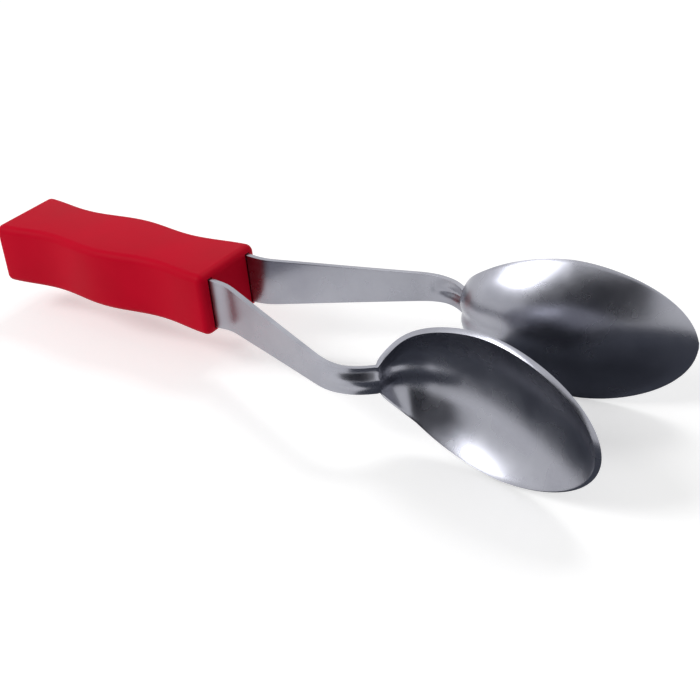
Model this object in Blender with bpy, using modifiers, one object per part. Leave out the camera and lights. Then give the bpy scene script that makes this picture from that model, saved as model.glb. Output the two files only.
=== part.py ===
# Musical spoons: two sheet steel spoons held back to back in one moulded plastic handle.
# Frame: +X from the handle's butt end to the spoon tips, +Y from the front spoon to the rear spoon,
# +Z up, origin in the middle of the butt end's flat face. Sizes in metres, angles in degrees.
import math

import bmesh
import bpy
import numpy as np
from mathutils import Matrix, Vector

# Handle
HANDLE_LENGTH = 0.092
HANDLE_WIDTH = 0.0270
HANDLE_HEIGHT = 0.0210
HANDLE_EDGE_RADIUS = 0.0026
HANDLE_EDGE_SEGMENTS = 4
GRIP_HOLLOWS = 2
GRIP_HOLLOW_DEPTH = 0.0022
GRIP_STATIONS = 28

# Sheet and fits
SHEET = 0.0015
CLEARANCE = 0.0003

# Tang, the end of each spoon that the handle is moulded around
TANG_LENGTH = 0.034
TANG_TO_SIDE = 0.0043
TANG_OFFSET = HANDLE_WIDTH / 2 - TANG_TO_SIDE
LOCK_HOLE_RADIUS = 0.0030
LOCK_HOLE_FROM_MOUTH = 0.0210
LOCK_HOLE_SIDES = 24

# Strip and neck, measured along the spoon from the slot's mouth
ROOT_STRAIGHT = 0.0018
ROOT_BEND = 0.0090
STRIP_ANGLE = 21.0
STRIP_LENGTH = 0.0655
STRIP_WIDTH_ROOT = 0.0166
STRIP_WIDTH_NECK = 0.0080
NECK_BEND = 0.0230
NECK_ANGLE = 39.0
NECK_LENGTH = 0.0170
HEEL_BEND = 0.0137

# Bowl
BOWL_LENGTH = 0.0650
BOWL_ANGLE = 7.0
BOWL_CURVE_PER_M = 100.0
BOWL_WIDTH = 0.044
BOWL_DEPTH = 0.0092
BOWL_START = 0.0105
BOWL_WIDEST = 0.52
HEEL_FULLNESS = 1.76
TIP_FULLNESS = 1.74
SHOULDER_FILLET = 0.0064
SECTION_FULLNESS = 2.2

# Pressed rib that stiffens the neck on the hollow side
RIB_HEIGHT = 0.0013
RIB_HALF_WIDTH = 0.0021
RIB_START = -0.0060
RIB_END = 0.0310

# Mesh density of a spoon
COLUMNS = 12
ROOT_STATIONS = 6
STRIP_STATIONS = 5
NECK_STATIONS = 20
BOWL_STATIONS = 10
TIP_STATIONS = 11
PATH_STEPS = 2400

HANDLE_RED = (0.52, 0.003, 0.022, 1.0)
STEEL_GREY = (0.56, 0.56, 0.60, 1.0)


def smooth_step(value):
    """Ease from 0 to 1 with level ends."""
    t = np.clip(value, 0.0, 1.0)
    return t * t * (3.0 - 2.0 * t)


def spoon_path():
    """Arc length, X, Y and heading of the rear spoon's edge line in plan."""
    total = STRIP_LENGTH + NECK_LENGTH + BOWL_LENGTH
    s = np.linspace(0.0, total, PATH_STEPS)
    strip, neck, bowl = (math.radians(a) for a in (STRIP_ANGLE, NECK_ANGLE, BOWL_ANGLE))
    heel = STRIP_LENGTH + NECK_LENGTH
    heading = strip * smooth_step((s - ROOT_STRAIGHT) / ROOT_BEND)
    heading -= (strip + neck) * smooth_step((s - STRIP_LENGTH + NECK_BEND / 2) / NECK_BEND)
    heading += (neck + bowl) * smooth_step((s - heel + HEEL_BEND / 2) / HEEL_BEND)
    heading += math.radians(BOWL_CURVE_PER_M) * np.clip(s - heel - HEEL_BEND / 2, 0.0, None)
    step = s[1] - s[0]
    middle = (heading[1:] + heading[:-1]) / 2
    x = HANDLE_LENGTH + np.concatenate(([0.0], np.cumsum(np.cos(middle) * step)))
    y = TANG_OFFSET + np.concatenate(([0.0], np.cumsum(np.sin(middle) * step)))
    return s, x, y, heading


def bowl_fraction(s):
    """How far along the bowl a point lies: 0 at the heel, 1 at the tip."""
    start = STRIP_LENGTH + BOWL_START
    end = STRIP_LENGTH + NECK_LENGTH + BOWL_LENGTH
    return np.clip((s - start) / (end - start), 0.0, 1.0)


def half_width(s):
    """Half the spoon's width: a tapering strip, a filleted shoulder and an egg-shaped bowl."""
    taper = np.clip(s / STRIP_LENGTH, 0.0, 1.0)
    strip = (STRIP_WIDTH_ROOT + (STRIP_WIDTH_NECK - STRIP_WIDTH_ROOT) * taper) / 2
    u = bowl_fraction(s)
    to_heel = np.clip((BOWL_WIDEST - u) / BOWL_WIDEST, 0.0, 1.0)
    to_tip = np.clip((u - BOWL_WIDEST) / (1.0 - BOWL_WIDEST), 0.0, 1.0)
    egg_heel = BOWL_WIDTH / 2 * np.sqrt(1.0 - to_heel ** HEEL_FULLNESS)
    egg_tip = BOWL_WIDTH / 2 * np.sqrt(1.0 - to_tip ** TIP_FULLNESS)
    apart = np.abs(strip - egg_heel)
    fillet = np.where(apart < SHOULDER_FILLET, (SHOULDER_FILLET - apart) ** 2 / (4 * SHOULDER_FILLET), 0.0)
    near_heel = np.maximum(strip, egg_heel) + fillet
    return np.where(u < BOWL_WIDEST, near_heel, egg_tip)


def sink(s, across):
    """How far the sheet lies behind the edge line, towards the other spoon."""
    u = bowl_fraction(s)
    bowl = BOWL_DEPTH * np.sin(math.pi * u ** 0.82) ** 0.78
    dish = bowl * (1.0 - np.abs(across) ** SECTION_FULLNESS)
    along = (s - STRIP_LENGTH - RIB_START) / (RIB_END - RIB_START)
    rib = RIB_HEIGHT * np.sin(math.pi * np.clip(along, 0.0, 1.0) ** 0.7) ** 1.2
    reach = across * half_width(s) / RIB_HALF_WIDTH
    return dish - rib * np.exp(-reach ** 2)


def stations():
    """Places along the spoon where its section is drawn, closer together at the bends and the tip."""
    neck_in = STRIP_LENGTH - NECK_BEND / 2
    bowl_in = STRIP_LENGTH + NECK_LENGTH + HEEL_BEND / 2
    start = STRIP_LENGTH + BOWL_START
    end = STRIP_LENGTH + NECK_LENGTH + BOWL_LENGTH
    widest = start + BOWL_WIDEST * (end - start)
    root_out = ROOT_STRAIGHT + ROOT_BEND
    turn = np.sin(np.linspace(0.0, math.pi / 2, TIP_STATIONS + 1))
    parts = [
        np.linspace(CLEARANCE, root_out, ROOT_STATIONS, endpoint=False),
        np.linspace(root_out, neck_in, STRIP_STATIONS, endpoint=False),
        np.linspace(neck_in, bowl_in, NECK_STATIONS, endpoint=False),
        np.linspace(bowl_in, widest, BOWL_STATIONS, endpoint=False),
        widest + (end - widest) * turn,
    ]
    return np.concatenate(parts)


def new_material(name, colour, metallic, roughness):
    """A plain Principled material."""
    material = bpy.data.materials.new(name)
    material.use_nodes = True
    shader = material.node_tree.nodes["Principled BSDF"]
    shader.inputs["Base Color"].default_value = colour
    shader.inputs["Metallic"].default_value = metallic
    shader.inputs["Roughness"].default_value = roughness
    return material


def new_object(name, mesh_builder, collection, material=None):
    """Turn a bmesh into a named object in a collection."""
    mesh = bpy.data.meshes.new(name)
    mesh_builder.to_mesh(mesh)
    mesh_builder.free()
    made = bpy.data.objects.new(name, mesh)
    collection.objects.link(made)
    if material is not None:
        mesh.materials.append(material)
    return made


def box_builder(low, high):
    """A box between two corners."""
    made = bmesh.new()
    bmesh.ops.create_cube(made, size=1.0)
    size = Vector(high) - Vector(low)
    middle = (Vector(high) + Vector(low)) / 2
    bmesh.ops.scale(made, vec=size, verts=made.verts)
    bmesh.ops.translate(made, vec=middle, verts=made.verts)
    return made


def peg_builder(radius, side, thickness):
    """A round peg across the tang, at the lock hole."""
    made = bmesh.new()
    bmesh.ops.create_cone(made, cap_ends=True, segments=LOCK_HOLE_SIDES, radius1=radius, radius2=radius,
                          depth=thickness)
    bmesh.ops.rotate(made, cent=(0, 0, 0), matrix=Matrix.Rotation(math.pi / 2, 3, "X"), verts=made.verts)
    place = (HANDLE_LENGTH - LOCK_HOLE_FROM_MOUTH, side * TANG_OFFSET, 0.0)
    bmesh.ops.translate(made, vec=place, verts=made.verts)
    return made


def add_cutter(target, cutter, name):
    """Cut one object out of another and hide the cutter."""
    cutter.hide_render = True
    cutter.display_type = "WIRE"
    cut = target.modifiers.new(name, "BOOLEAN")
    cut.operation = "DIFFERENCE"
    cut.solver = "EXACT"
    cut.object = cutter


def tang_corners(side, grow):
    """Low and high corners of a tang, or of its pocket when grown by a clearance."""
    half = SHEET / 2 + grow
    height = STRIP_WIDTH_ROOT / 2 + grow
    low = (HANDLE_LENGTH - TANG_LENGTH - grow, side * TANG_OFFSET - half, -height)
    high = (HANDLE_LENGTH, side * TANG_OFFSET + half, height)
    return low, high


def make_handle(parts, cutters):
    """A rounded bar with two shallow grip hollows along each side and a blind pocket for each tang."""
    builder = box_builder((0.0, -HANDLE_WIDTH / 2, -HANDLE_HEIGHT / 2),
                          (HANDLE_LENGTH, HANDLE_WIDTH / 2, HANDLE_HEIGHT / 2))
    for index in range(1, GRIP_STATIONS):
        place = Vector((HANDLE_LENGTH * index / GRIP_STATIONS, 0.0, 0.0))
        everything = builder.verts[:] + builder.edges[:] + builder.faces[:]
        bmesh.ops.bisect_plane(builder, geom=everything, plane_co=place, plane_no=(1.0, 0.0, 0.0))
    for vert in builder.verts:
        phase = 2 * math.pi * GRIP_HOLLOWS * vert.co.x / HANDLE_LENGTH
        hollow = GRIP_HOLLOW_DEPTH * (1 - math.cos(phase)) / 2
        vert.co.y -= math.copysign(hollow, vert.co.y)
    handle = new_object("handle", builder, parts, new_material("red_plastic", HANDLE_RED, 0.0, 0.42))
    rounding = handle.modifiers.new("rounded_edges", "BEVEL")
    rounding.width = HANDLE_EDGE_RADIUS
    rounding.segments = HANDLE_EDGE_SEGMENTS
    rounding.limit_method = "ANGLE"
    rounding.angle_limit = math.radians(40.0)
    for side, name in ((-1, "front"), (1, "rear")):
        low, high = tang_corners(side, CLEARANCE)
        past_mouth = (high[0] + HANDLE_EDGE_RADIUS, high[1], high[2])
        pocket = new_object(name + "_pocket", box_builder(low, past_mouth), cutters)
        peg_shape = peg_builder(LOCK_HOLE_RADIUS - CLEARANCE, side, 4 * SHEET)
        peg = new_object(name + "_lock_peg", peg_shape, cutters)
        add_cutter(pocket, peg, "leave_peg")
        add_cutter(handle, pocket, name + "_pocket")
    return handle


def make_tang(name, side, parts, cutters, steel):
    """The flat end of a spoon inside the handle, with the hole that the plastic locks through."""
    low, high = tang_corners(side, 0.0)
    tang = new_object(name, box_builder(low, high), parts, steel)
    hole = new_object(name + "_hole", peg_builder(LOCK_HOLE_RADIUS, side, 4 * SHEET), cutters)
    add_cutter(tang, hole, "lock_hole")
    return tang


def make_spoon(name, side, parts, steel):
    """The strip, neck and bowl of one spoon, drawn as a loft of sections and thickened to the sheet."""
    path_s, path_x, path_y, path_heading = spoon_path()
    across = np.linspace(-1.0, 1.0, COLUMNS + 1)
    builder = bmesh.new()
    rows = []
    places = stations()
    for index, s in enumerate(places):
        x = np.interp(s, path_s, path_x)
        y = np.interp(s, path_s, path_y)
        heading = np.interp(s, path_s, path_heading)
        if index == len(places) - 1:
            rows.append([builder.verts.new((x, side * y, 0.0))] * len(across))
            continue
        half = float(half_width(s))
        row = []
        for v in across:
            depth = float(sink(s, v))
            row.append(builder.verts.new((x + depth * math.sin(heading),
                                          side * (y - depth * math.cos(heading)),
                                          half * v)))
        rows.append(row)
    for back, front in zip(rows[:-1], rows[1:]):
        for j in range(COLUMNS):
            corners = [back[j], front[j], front[j + 1], back[j + 1]]
            if front[j] is front[j + 1]:
                corners = [back[j], front[j], back[j + 1]]
            builder.faces.new(corners)
    bmesh.ops.recalc_face_normals(builder, faces=builder.faces)
    spoon = new_object(name, builder, parts, steel)
    sheet = spoon.modifiers.new("sheet", "SOLIDIFY")
    sheet.thickness = SHEET
    sheet.offset = 0.0
    sheet.use_even_offset = True
    for face in spoon.data.polygons:
        face.use_smooth = True
    hinge = bpy.data.objects.new(name + "_flex_axis", None)
    parts.objects.link(hinge)
    hinge.location = (HANDLE_LENGTH, side * TANG_OFFSET, 0.0)
    spoon.data.transform(Matrix.Translation(-hinge.location))
    spoon.parent = hinge
    return spoon


def main():
    """Build the part."""
    for old in list(bpy.data.objects):
        bpy.data.objects.remove(old, do_unlink=True)
    parts = bpy.data.collections.new("musical_spoons")
    cutters = bpy.data.collections.new("cutters")
    bpy.context.scene.collection.children.link(parts)
    bpy.context.scene.collection.children.link(cutters)
    make_handle(parts, cutters)
    for side, name in ((-1, "front"), (1, "rear")):
        steel = new_material(name + "_spoon_steel", STEEL_GREY, 1.0, 0.24)
        make_tang(name + "_tang", side, parts, cutters, steel)
        make_spoon(name + "_spoon", side, parts, steel)


main()
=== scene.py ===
# Looks of the musical spoons: satin red moulded grip, two polished steel spoons on a white floor.
import math

import bmesh
import bpy
import numpy as np
from mathutils import Matrix, Vector


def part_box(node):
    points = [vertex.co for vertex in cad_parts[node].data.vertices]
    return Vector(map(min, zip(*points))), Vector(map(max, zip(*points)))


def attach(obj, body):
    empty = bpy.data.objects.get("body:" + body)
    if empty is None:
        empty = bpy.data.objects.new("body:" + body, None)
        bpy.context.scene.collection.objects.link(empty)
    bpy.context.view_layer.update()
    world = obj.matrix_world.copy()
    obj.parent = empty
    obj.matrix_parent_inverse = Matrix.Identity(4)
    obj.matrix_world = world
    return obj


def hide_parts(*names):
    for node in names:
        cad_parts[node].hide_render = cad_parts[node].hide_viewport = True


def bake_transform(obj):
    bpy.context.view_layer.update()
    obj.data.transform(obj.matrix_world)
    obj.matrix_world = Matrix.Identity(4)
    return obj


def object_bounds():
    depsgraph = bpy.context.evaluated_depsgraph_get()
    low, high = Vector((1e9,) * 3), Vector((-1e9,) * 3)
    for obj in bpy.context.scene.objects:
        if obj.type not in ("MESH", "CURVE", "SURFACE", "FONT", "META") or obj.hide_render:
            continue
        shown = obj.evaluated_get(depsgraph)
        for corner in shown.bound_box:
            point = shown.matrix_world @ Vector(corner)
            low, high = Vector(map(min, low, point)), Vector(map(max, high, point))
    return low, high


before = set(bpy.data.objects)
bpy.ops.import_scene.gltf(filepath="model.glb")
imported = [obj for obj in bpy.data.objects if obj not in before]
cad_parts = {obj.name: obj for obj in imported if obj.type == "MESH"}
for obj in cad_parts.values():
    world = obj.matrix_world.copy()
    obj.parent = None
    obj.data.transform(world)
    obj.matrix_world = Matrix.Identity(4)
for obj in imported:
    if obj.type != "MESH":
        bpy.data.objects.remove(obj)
cad_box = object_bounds()

# Sizes shared with the CAD model, in metres and degrees
HANDLE_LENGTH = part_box("handle")[1][0]
SHEET = 0.0015
CLEARANCE = 0.0003
HANDLE_WIDTH = 0.0270
HANDLE_HEIGHT = 0.0210
HANDLE_EDGE_RADIUS = 0.0026
GRIP_HOLLOWS = 2
GRIP_HOLLOW_DEPTH = 0.0022
GRIP_STATIONS = 96
SLOT_DEPTH = 0.034
TANG_OFFSET = 0.0092
ROOT_STRAIGHT = 0.0018
ROOT_BEND = 0.0090
STRIP_ANGLE = 21.0
STRIP_LENGTH = 0.0655
STRIP_WIDTH_ROOT = 0.0166
STRIP_WIDTH_NECK = 0.0080
NECK_BEND = 0.0230
NECK_ANGLE = 39.0
NECK_LENGTH = 0.0170
HEEL_BEND = 0.0137
BOWL_LENGTH = 0.0650
BOWL_ANGLE = 7.0
BOWL_CURVE_PER_M = 100.0
BOWL_WIDTH = 0.044
BOWL_DEPTH = 0.0092
BOWL_START = 0.0105
BOWL_WIDEST = 0.52
HEEL_FULLNESS = 1.76
TIP_FULLNESS = 1.74
SHOULDER_FILLET = 0.0064
SECTION_FULLNESS = 2.2
RIB_HEIGHT = 0.0013
RIB_HALF_WIDTH = 0.0021
RIB_START = -0.0060
RIB_END = 0.0310

DISH_LEAN = 0.82
DISH_FULLNESS = 0.78
RIB_LEAN = 0.7
RIB_FULLNESS = 1.2

# Mesh density and rounding
COLUMNS = 44
PATH_STEPS = 4000
ROOT_STATIONS = 16
STRIP_STATIONS = 18
BOWL_STATIONS = 84
TIP_STATIONS = 40
SHEET_EDGE_ROUND = 0.00045
SHEET_EDGE_SEGMENTS = 3
SHEET_EDGE_ANGLE = 55.0
SPOON_SHARP_ANGLE = 45.0
GRIP_SHARP_ANGLE = 40.0
HANDLE_EDGE_SEGMENTS = 8

# Red plastic
PLASTIC_DARK = (0.53, 0.0003, 0.016, 1.0)
PLASTIC_PALE = (0.60, 0.0006, 0.020, 1.0)
PLASTIC_GLOSS_SOURCE = (0.0, 1.0)
PLASTIC_ROUGHNESS = (0.44, 0.56)
PLASTIC_SPECULAR = 0.06
PLASTIC_MOTTLE_SCALE = 45.0
PLASTIC_MOTTLE_DETAIL = 3.0
PLASTIC_GRAIN_SCALE = 1400.0
PLASTIC_GRAIN_DETAIL = 2.0
PLASTIC_GRAIN_STRENGTH = 0.06
PLASTIC_GRAIN_DEPTH = 0.0002

# Polished steel
STEEL_DARK = (0.31, 0.315, 0.36, 1.0)
STEEL_PALE = (0.39, 0.395, 0.44, 1.0)
STEEL_GLOSS_SOURCE = (0.3, 0.7)
STEEL_ROUGHNESS = (0.21, 0.31)
STEEL_CLOUD_SCALE = 70.0
STEEL_CLOUD_DETAIL = 4.0
STEEL_GRAIN_STRETCH = (60.0, 900.0, 1500.0)
STEEL_GRAIN_DETAIL = 3.0
STEEL_GRAIN_STRENGTH = 0.05
STEEL_GRAIN_DEPTH = 0.0001

# Ends of the noise that the colours are spread over
COLOUR_ENDS = (0.3, 0.7)

# Camera, fitted to the photograph's outline
CAMERA_AZIMUTH = 38.09
CAMERA_ELEVATION = 30.25
CAMERA_ROLL = -6.33
CAMERA_DISTANCE = 0.42071
CAMERA_TARGET = Vector((0.136, 0.0, -0.0105))
SENSOR = 36.0
LENS = SENSOR * 1.997
CLIP_START = 0.01
CLIP_END = 20.0

# Floor, background, and two dark sheets that only the steel mirrors: painted shade of the floor and a
# painted dark reflection of the room
FLOOR_SIZE = 6.0
FLOOR_MIDDLE_X = 0.1
FLOOR_GAP = 0.0002
FLOOR_COLOUR = (0.85, 0.85, 0.85, 1.0)
FLOOR_ROUGHNESS = 0.9
FLOOR_SPECULAR = 0.1
FLOOR_LIFT = 0.42
WORLD_LIGHT = 0.35
BACKGROUND_WHITE = 1.0
WHITE = (1.0, 1.0, 1.0, 1.0)
# Painted shade: a dark sheet lying on the floor beside the spoons, shown only in the steel's reflections,
# where the floor would be in shade
FLOOR_SHADE_SHEET_MIDDLE = (0.285, -0.19)
FLOOR_SHADE_SHEET_SIZE = (0.25, 0.50)
FLOOR_PAINTED_SHADE_COLOUR = (0.135, 0.145, 0.175, 1.0)
# Painted reflection: a dark sheet on the camera's side, shown only in the steel's reflections, standing in
# for the dark room
ROOM_REFLECTION_SHEET_PLACE = (0.30, -0.90, 0.42)
ROOM_REFLECTION_SHEET_TARGET = (0.20, 0.0, 0.0)
ROOM_REFLECTION_SHEET_SIZE = (1.10, 0.90)
ROOM_PAINTED_REFLECTION_COLOUR = (0.04, 0.042, 0.055, 1.0)

# Lamps: place, target, size and power in watts
KEY_LAMP = ((-0.45, -0.70, 0.80), (0.12, 0.0, 0.0), (0.5, 0.5), 6.0)
TOP_LAMP = ((0.10, 0.55, 0.90), (0.15, 0.0, 0.0), (0.5, 0.3), 2.5)


def smooth_step(value):
    """Ease from 0 to 1 with level ends."""
    t = np.clip(value, 0.0, 1.0)
    return t * t * (3.0 - 2.0 * t)


def spoon_path():
    """Arc length, X, Y and heading of the rear spoon's edge line in plan."""
    total = STRIP_LENGTH + NECK_LENGTH + BOWL_LENGTH
    s = np.linspace(0.0, total, PATH_STEPS)
    strip, neck, bowl = (math.radians(a) for a in (STRIP_ANGLE, NECK_ANGLE, BOWL_ANGLE))
    heel = STRIP_LENGTH + NECK_LENGTH
    heading = strip * smooth_step((s - ROOT_STRAIGHT) / ROOT_BEND)
    heading -= (strip + neck) * smooth_step((s - STRIP_LENGTH + NECK_BEND / 2) / NECK_BEND)
    heading += (neck + bowl) * smooth_step((s - heel + HEEL_BEND / 2) / HEEL_BEND)
    heading += math.radians(BOWL_CURVE_PER_M) * np.clip(s - heel - HEEL_BEND / 2, 0.0, None)
    step = s[1] - s[0]
    middle = (heading[1:] + heading[:-1]) / 2
    x = HANDLE_LENGTH + np.concatenate(([0.0], np.cumsum(np.cos(middle) * step)))
    y = TANG_OFFSET + np.concatenate(([0.0], np.cumsum(np.sin(middle) * step)))
    return s, x, y, heading


def bowl_fraction(s):
    """How far along the bowl a point lies: 0 at the heel, 1 at the tip."""
    start = STRIP_LENGTH + BOWL_START
    end = STRIP_LENGTH + NECK_LENGTH + BOWL_LENGTH
    return np.clip((s - start) / (end - start), 0.0, 1.0)


def half_width(s):
    """Half the spoon's width: a tapering strip, a filleted shoulder and an egg-shaped bowl."""
    taper = np.clip(s / STRIP_LENGTH, 0.0, 1.0)
    strip = (STRIP_WIDTH_ROOT + (STRIP_WIDTH_NECK - STRIP_WIDTH_ROOT) * taper) / 2
    u = bowl_fraction(s)
    to_heel = np.clip((BOWL_WIDEST - u) / BOWL_WIDEST, 0.0, 1.0)
    to_tip = np.clip((u - BOWL_WIDEST) / (1.0 - BOWL_WIDEST), 0.0, 1.0)
    egg_heel = BOWL_WIDTH / 2 * np.sqrt(1.0 - to_heel ** HEEL_FULLNESS)
    egg_tip = BOWL_WIDTH / 2 * np.sqrt(1.0 - to_tip ** TIP_FULLNESS)
    apart = np.abs(strip - egg_heel)
    fillet = np.where(apart < SHOULDER_FILLET, (SHOULDER_FILLET - apart) ** 2 / (4 * SHOULDER_FILLET), 0.0)
    near_heel = np.maximum(strip, egg_heel) + fillet
    return np.where(u < BOWL_WIDEST, near_heel, egg_tip)


def sink(s, across):
    """How far the sheet lies behind the edge line, towards the other spoon."""
    u = bowl_fraction(s)
    bowl = BOWL_DEPTH * np.sin(math.pi * u ** DISH_LEAN) ** DISH_FULLNESS
    dish = bowl * (1.0 - np.abs(across) ** SECTION_FULLNESS)
    along = (s - STRIP_LENGTH - RIB_START) / (RIB_END - RIB_START)
    rib = RIB_HEIGHT * np.sin(math.pi * np.clip(along, 0.0, 1.0) ** RIB_LEAN) ** RIB_FULLNESS
    reach = across * half_width(s) / RIB_HALF_WIDTH
    return dish - rib * np.exp(-reach ** 2)


def stations():
    """Places along the spoon where its section is drawn, from the slot's mouth to the tip."""
    root_out = ROOT_STRAIGHT + ROOT_BEND
    neck_in = STRIP_LENGTH - NECK_BEND / 2
    start = STRIP_LENGTH + BOWL_START
    end = STRIP_LENGTH + NECK_LENGTH + BOWL_LENGTH
    widest = start + BOWL_WIDEST * (end - start)
    turn = np.sin(np.linspace(0.0, math.pi / 2, TIP_STATIONS))
    parts = [
        np.linspace(0.0, root_out, ROOT_STATIONS, endpoint=False),
        np.linspace(root_out, neck_in, STRIP_STATIONS, endpoint=False),
        np.linspace(neck_in, widest, BOWL_STATIONS, endpoint=False),
        widest + (end - widest) * turn,
    ]
    return np.concatenate(parts)


def spoon_point(path, side, s, v):
    """A point of the middle sheet."""
    path_s, path_x, path_y, path_heading = path
    x, y, heading = (np.interp(s, path_s, values) for values in (path_x, path_y, path_heading))
    depth = float(sink(s, v))
    half = float(half_width(s))
    return Vector((x + depth * math.sin(heading), side * (y - depth * math.cos(heading)), half * v))


def mesh_object(name, builder):
    """Link a bmesh to the scene as an object."""
    mesh = bpy.data.meshes.new(name)
    builder.to_mesh(mesh)
    builder.free()
    made = bpy.data.objects.new(name, mesh)
    bpy.context.scene.collection.objects.link(made)
    return made


def settle(shaped, material, sharp_angle):
    """Apply an object's modifiers, then give its mesh one material and smooth shading."""
    evaluated = shaped.evaluated_get(bpy.context.evaluated_depsgraph_get())
    finished = bpy.data.meshes.new_from_object(evaluated)
    shaped.modifiers.clear()
    shaped.data = finished
    finished.materials.clear()
    finished.materials.append(material)
    finished.shade_smooth()
    finished.set_sharp_from_angle(angle=math.radians(sharp_angle))


def make_spoon(name, side, material):
    """A spoon from the slot's mouth to the tip, with rounded edges."""
    path = spoon_path()
    across = np.linspace(-1.0, 1.0, COLUMNS + 1)
    builder = bmesh.new()
    rows = []
    places = stations()
    for index, s in enumerate(places):
        if index == len(places) - 1:
            tip = builder.verts.new(spoon_point(path, side, s, 0.0))
            rows.append([tip] * len(across))
        else:
            rows.append([builder.verts.new(spoon_point(path, side, s, v)) for v in across])
    for back, front in zip(rows[:-1], rows[1:]):
        for j in range(COLUMNS):
            corners = [back[j], front[j], front[j + 1], back[j + 1]]
            if front[j] is front[j + 1]:
                corners = [back[j], front[j], back[j + 1]]
            builder.faces.new(corners)
    bmesh.ops.recalc_face_normals(builder, faces=builder.faces)
    spoon = mesh_object(name, builder)
    sheet = spoon.modifiers.new("sheet", "SOLIDIFY")
    sheet.thickness = SHEET
    sheet.offset = 0.0
    rounding = spoon.modifiers.new("rounded_edge", "BEVEL")
    rounding.width = SHEET_EDGE_ROUND
    rounding.segments = SHEET_EDGE_SEGMENTS
    rounding.limit_method = "ANGLE"
    rounding.angle_limit = math.radians(SHEET_EDGE_ANGLE)
    settle(spoon, material, SPOON_SHARP_ANGLE)
    return spoon


def box_mesh(low, high):
    """A box between two corners, as a bmesh."""
    made = bmesh.new()
    bmesh.ops.create_cube(made, size=1.0)
    bmesh.ops.scale(made, vec=Vector(high) - Vector(low), verts=made.verts)
    bmesh.ops.translate(made, vec=(Vector(high) + Vector(low)) / 2, verts=made.verts)
    return made


def make_handle(material):
    """The grip with finer stations and rounding, and a slot for each spoon."""
    builder = box_mesh((0.0, -HANDLE_WIDTH / 2, -HANDLE_HEIGHT / 2),
                       (HANDLE_LENGTH, HANDLE_WIDTH / 2, HANDLE_HEIGHT / 2))
    bmesh.ops.bevel(builder, geom=builder.edges[:], offset=HANDLE_EDGE_RADIUS,
                    segments=HANDLE_EDGE_SEGMENTS, profile=0.5, affect="EDGES")
    for index in range(1, GRIP_STATIONS):
        place = (HANDLE_LENGTH * index / GRIP_STATIONS, 0.0, 0.0)
        everything = builder.verts[:] + builder.edges[:] + builder.faces[:]
        bmesh.ops.bisect_plane(builder, geom=everything, plane_co=place, plane_no=(1.0, 0.0, 0.0))
    for vert in builder.verts:
        phase = 2 * math.pi * GRIP_HOLLOWS * vert.co.x / HANDLE_LENGTH
        hollow = GRIP_HOLLOW_DEPTH * (1 - math.cos(phase)) / 2
        vert.co.y -= math.copysign(hollow, vert.co.y)
    handle = mesh_object("grip_shell", builder)
    half = SHEET / 2 + CLEARANCE
    height = STRIP_WIDTH_ROOT / 2 + CLEARANCE
    cutters = []
    for side in (-1, 1):
        low = (HANDLE_LENGTH - SLOT_DEPTH - CLEARANCE, side * TANG_OFFSET - half, -height)
        high = (HANDLE_LENGTH + HANDLE_EDGE_RADIUS, side * TANG_OFFSET + half, height)
        cutter = mesh_object("slot_cutter", box_mesh(low, high))
        cut = handle.modifiers.new("slot", "BOOLEAN")
        cut.operation = "DIFFERENCE"
        cut.solver = "EXACT"
        cut.object = cutter
        cutters.append(cutter)
    settle(handle, material, GRIP_SHARP_ANGLE)
    for cutter in cutters:
        bpy.data.objects.remove(cutter, do_unlink=True)
    return handle


def node_material(name):
    """A new material, its node tree and its Principled shader."""
    material = bpy.data.materials.new(name)
    material.use_nodes = True
    tree = material.node_tree
    return material, tree, tree.nodes["Principled BSDF"]


def add_noise(tree, vector, scale, detail):
    """Noise in the object's own space."""
    noise = tree.nodes.new("ShaderNodeTexNoise")
    noise.inputs["Scale"].default_value = scale
    noise.inputs["Detail"].default_value = detail
    tree.links.new(vector, noise.inputs["Vector"])
    return noise.outputs["Fac"]


def vary_colour(tree, shader, amount, dark, pale):
    """Spread the base colour between two tones."""
    ramp = tree.nodes.new("ShaderNodeValToRGB")
    tones = ramp.color_ramp.elements
    for tone, position, colour in zip(tones, COLOUR_ENDS, (dark, pale)):
        tone.position = position
        tone.color = colour
    tree.links.new(amount, ramp.inputs["Fac"])
    tree.links.new(ramp.outputs["Color"], shader.inputs["Base Color"])


def vary_roughness(tree, shader, amount, source, roughness):
    """Spread the roughness between two values."""
    spread = tree.nodes.new("ShaderNodeMapRange")
    spread.inputs["From Min"].default_value = source[0]
    spread.inputs["From Max"].default_value = source[1]
    spread.inputs["To Min"].default_value = roughness[0]
    spread.inputs["To Max"].default_value = roughness[1]
    tree.links.new(amount, spread.inputs["Value"])
    tree.links.new(spread.outputs["Result"], shader.inputs["Roughness"])


def add_grain(tree, shader, height, strength, depth):
    """Raise and sink the surface by a fine height."""
    bump = tree.nodes.new("ShaderNodeBump")
    bump.inputs["Strength"].default_value = strength
    bump.inputs["Distance"].default_value = depth
    tree.links.new(height, bump.inputs["Height"])
    tree.links.new(bump.outputs["Normal"], shader.inputs["Normal"])


def red_plastic():
    """Satin moulded plastic: a faint mottling of colour and gloss, and a fine moulded texture."""
    material, tree, shader = node_material("red_plastic_look")
    place = tree.nodes.new("ShaderNodeTexCoord").outputs["Object"]
    mottle = add_noise(tree, place, PLASTIC_MOTTLE_SCALE, PLASTIC_MOTTLE_DETAIL)
    vary_colour(tree, shader, mottle, PLASTIC_DARK, PLASTIC_PALE)
    vary_roughness(tree, shader, mottle, PLASTIC_GLOSS_SOURCE, PLASTIC_ROUGHNESS)
    grain = add_noise(tree, place, PLASTIC_GRAIN_SCALE, PLASTIC_GRAIN_DETAIL)
    add_grain(tree, shader, grain, PLASTIC_GRAIN_STRENGTH, PLASTIC_GRAIN_DEPTH)
    shader.inputs["Specular IOR Level"].default_value = PLASTIC_SPECULAR
    return material


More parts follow.
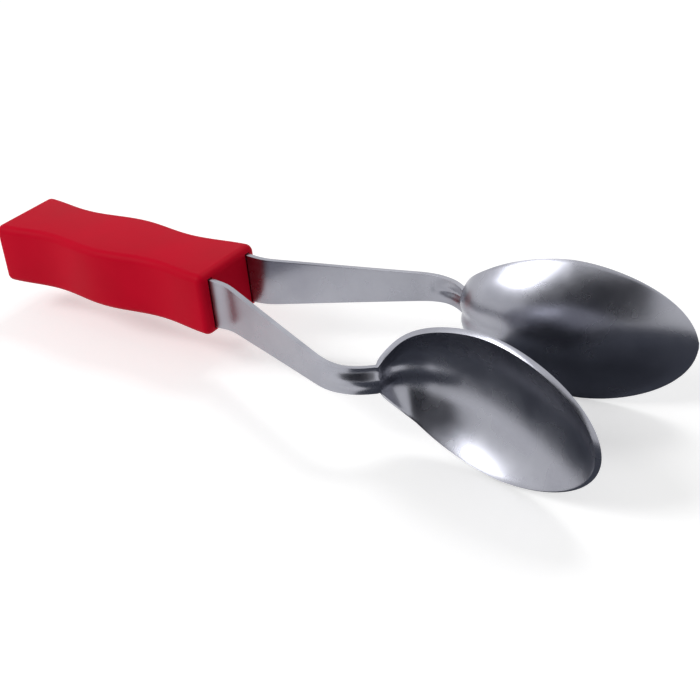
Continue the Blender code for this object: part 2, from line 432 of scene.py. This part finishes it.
def polished_steel():
    """Polished stainless sheet with a fine lengthwise grain and uneven gloss."""
    material, tree, shader = node_material("polished_steel_look")
    place = tree.nodes.new("ShaderNodeTexCoord").outputs["Object"]
    stretch = tree.nodes.new("ShaderNodeMapping")
    stretch.inputs["Scale"].default_value = STEEL_GRAIN_STRETCH
    tree.links.new(place, stretch.inputs["Vector"])
    grain = add_noise(tree, stretch.outputs["Vector"], 1.0, STEEL_GRAIN_DETAIL)
    cloud = add_noise(tree, place, STEEL_CLOUD_SCALE, STEEL_CLOUD_DETAIL)
    vary_colour(tree, shader, cloud, STEEL_DARK, STEEL_PALE)
    vary_roughness(tree, shader, cloud, STEEL_GLOSS_SOURCE, STEEL_ROUGHNESS)
    add_grain(tree, shader, grain, STEEL_GRAIN_STRENGTH, STEEL_GRAIN_DEPTH)
    shader.inputs["Metallic"].default_value = 1.0
    return material


def background_rays(tree):
    """1 for rays that see or mirror the background, 0 for the rays that light the part."""
    paths = tree.nodes.new("ShaderNodeLightPath")
    seen = paths.outputs["Is Camera Ray"]
    for kind in ("Is Transmission Ray", "Is Glossy Ray"):
        either = tree.nodes.new("ShaderNodeMath")
        either.operation = "MAXIMUM"
        tree.links.new(seen, either.inputs[0])
        tree.links.new(paths.outputs[kind], either.inputs[1])
        seen = either.outputs[0]
    return seen


def make_floor(level):
    """A wide white floor just under the part, which keeps the part's shadow."""
    bpy.ops.mesh.primitive_plane_add(size=FLOOR_SIZE, location=(FLOOR_MIDDLE_X, 0.0, level))
    floor = bpy.context.active_object
    floor.name = "floor"
    material, tree, shader = node_material("floor_white")
    shader.inputs["Base Color"].default_value = FLOOR_COLOUR
    shader.inputs["Roughness"].default_value = FLOOR_ROUGHNESS
    shader.inputs["Specular IOR Level"].default_value = FLOOR_SPECULAR
    shader.inputs["Emission Color"].default_value = WHITE
    lift = tree.nodes.new("ShaderNodeMath")
    lift.operation = "MULTIPLY"
    tree.links.new(background_rays(tree), lift.inputs[0])
    lift.inputs[1].default_value = FLOOR_LIFT
    tree.links.new(lift.outputs[0], shader.inputs["Emission Strength"])
    floor.data.materials.append(material)


def make_painted_reflection_sheet(name, place, target, size, colour):
    """A dark sheet that only mirrors show, unseen by the camera, by diffuse light and by shadows: a
    painted reflection in the steel.
    """
    bpy.ops.mesh.primitive_plane_add(size=1.0, location=place)
    reflection_only_sheet = bpy.context.active_object
    reflection_only_sheet.name = name
    reflection_only_sheet.scale = (size[0], size[1], 1.0)
    reflection_only_sheet.rotation_euler = (Vector(target) - Vector(place)).to_track_quat("Z", "Y").to_euler()
    material, _, shader = node_material(name + "_look")
    shader.inputs["Base Color"].default_value = colour
    shader.inputs["Roughness"].default_value = 1.0
    shader.inputs["Specular IOR Level"].default_value = 0.0
    reflection_only_sheet.data.materials.append(material)
    reflection_only_sheet.visible_camera = False
    reflection_only_sheet.visible_diffuse = False
    reflection_only_sheet.visible_shadow = False


def make_world():
    """A pale world: white where seen directly or mirrored, gentle where it lights the part."""
    world = bpy.data.worlds.new("studio")
    bpy.context.scene.world = world
    world.use_nodes = True
    tree = world.node_tree
    back = tree.nodes["Background"]
    mix = tree.nodes.new("ShaderNodeMix")
    mix.data_type = "FLOAT"
    mix.inputs["A"].default_value = WORLD_LIGHT
    mix.inputs["B"].default_value = BACKGROUND_WHITE
    tree.links.new(background_rays(tree), mix.inputs["Factor"])
    tree.links.new(mix.outputs["Result"], back.inputs["Strength"])
    back.inputs["Color"].default_value = WHITE


def add_lamp(name, place, target, size, power):
    """A soft white lamp aimed at a point."""
    data = bpy.data.lights.new(name, "AREA")
    data.shape = "RECTANGLE"
    data.size, data.size_y = size
    data.energy = power
    lamp = bpy.data.objects.new(name, data)
    bpy.context.scene.collection.objects.link(lamp)
    lamp.location = place
    lamp.rotation_euler = (Vector(target) - Vector(place)).to_track_quat("-Z", "Y").to_euler()


def make_camera():
    """The photograph's viewpoint."""
    az, el = math.radians(CAMERA_AZIMUTH), math.radians(CAMERA_ELEVATION)
    out = Vector((math.sin(az) * math.cos(el), -math.cos(az) * math.cos(el), math.sin(el)))
    data = bpy.data.cameras.new("camera")
    data.sensor_width = SENSOR
    data.lens = LENS
    data.clip_start = CLIP_START
    data.clip_end = CLIP_END
    camera = bpy.data.objects.new("camera", data)
    bpy.context.scene.collection.objects.link(camera)
    turn = (-out).to_track_quat("-Z", "Y").to_matrix()
    roll = Matrix.Rotation(math.radians(CAMERA_ROLL), 3, "Z")
    matrix = (turn @ roll).to_4x4()
    matrix.translation = CAMERA_TARGET + out * CAMERA_DISTANCE
    camera.matrix_world = matrix
    bpy.context.scene.camera = camera


def dress():
    """Stand a finer grip and finer spoons in for the CAD nodes, and give the tangs their steel."""
    plastic = red_plastic()
    steel = polished_steel()
    handle = make_handle(plastic)
    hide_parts("handle")
    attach(handle, "grip")
    for side, name in ((-1, "front"), (1, "rear")):
        spoon = make_spoon(name + "_spoon_whole", side, steel)
        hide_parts(name + "_spoon")
        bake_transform(spoon)
        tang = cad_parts[name + "_tang"]
        for slot in tang.material_slots:
            slot.material = steel


make_camera()
dress()
ground = cad_box[0][2]
make_floor(ground - FLOOR_GAP)
make_world()
add_lamp("key", *KEY_LAMP)
add_lamp("top", *TOP_LAMP)
# Dark sheets that only the steel mirrors: painted shade of the floor and a painted dark reflection of the
# room
floor_shade_sheet_place = (*FLOOR_SHADE_SHEET_MIDDLE, ground)
floor_shade_sheet_target = (*FLOOR_SHADE_SHEET_MIDDLE, 1.0)
make_painted_reflection_sheet("floor_painted_shade_sheet", floor_shade_sheet_place, floor_shade_sheet_target, FLOOR_SHADE_SHEET_SIZE, FLOOR_PAINTED_SHADE_COLOUR)
make_painted_reflection_sheet("room_painted_reflection_sheet", ROOM_REFLECTION_SHEET_PLACE, ROOM_REFLECTION_SHEET_TARGET, ROOM_REFLECTION_SHEET_SIZE, ROOM_PAINTED_REFLECTION_COLOUR)

scene = bpy.context.scene
scene.view_settings.view_transform = "Standard"
